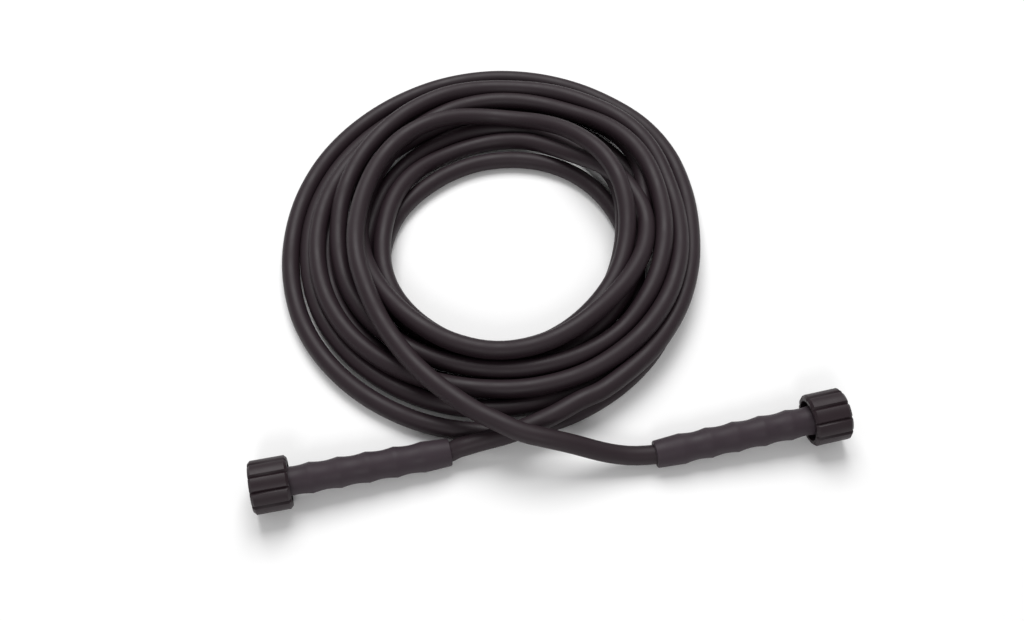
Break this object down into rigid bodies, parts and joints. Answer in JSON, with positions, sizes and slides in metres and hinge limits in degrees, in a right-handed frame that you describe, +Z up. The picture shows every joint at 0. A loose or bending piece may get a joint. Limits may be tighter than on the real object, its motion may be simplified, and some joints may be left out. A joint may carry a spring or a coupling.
{
  "type": "pressure washer hose",
  "caption": "Black rubber high-pressure hose coiled flat, with a wavy strain-relief sleeve and a swivelling threaded hand nut on each end.",
  "frame": {"origin": "middle of the coiled hose's footprint, on the floor", "axes": "+X from the left hand nut to the right one along the longest side, +Y from the crossing ends to the coil's far side, +Z up from the floor"},
  "size_m": [0.3909, 0.3791, 0.0388],
  "materials": {
    "hose_rubber": "smooth satin black cover",
    "sleeve_rubber": "matt charcoal, moulded in waves",
    "nut_plastic": "satin moulded black, with grip pads",
    "brass": "turned, bright",
    "ring_rubber": "smooth black"
  },
  "bodies": {
    "hose": {"hose_coil": "hose_rubber", "hose_tail_left": "hose_rubber", "hose_tail_right": "hose_rubber", "strain_relief_left": "sleeve_rubber", "strain_relief_right": "sleeve_rubber", "stem_left": "brass", "stem_right": "brass", "o_ring_left": "ring_rubber", "o_ring_right": "ring_rubber"},
    "left_nut": {"swivel_nut_left": "nut_plastic"},
    "right_nut": {"swivel_nut_right": "nut_plastic"}
  },
  "joints": [
    {"name": "left_swivel", "type": "hinge", "parent": "hose", "child": "left_nut", "pos_m": [-0.1627, -0.1681, 0.01684], "axis": [-0.9714, -0.226, 0.0732], "continuous": true},
    {"name": "right_swivel", "type": "hinge", "parent": "hose", "child": "right_nut", "pos_m": [0.1688, -0.1263, 0.01684], "axis": [0.9773, 0.1988, 0.0732], "continuous": true}
  ]
}
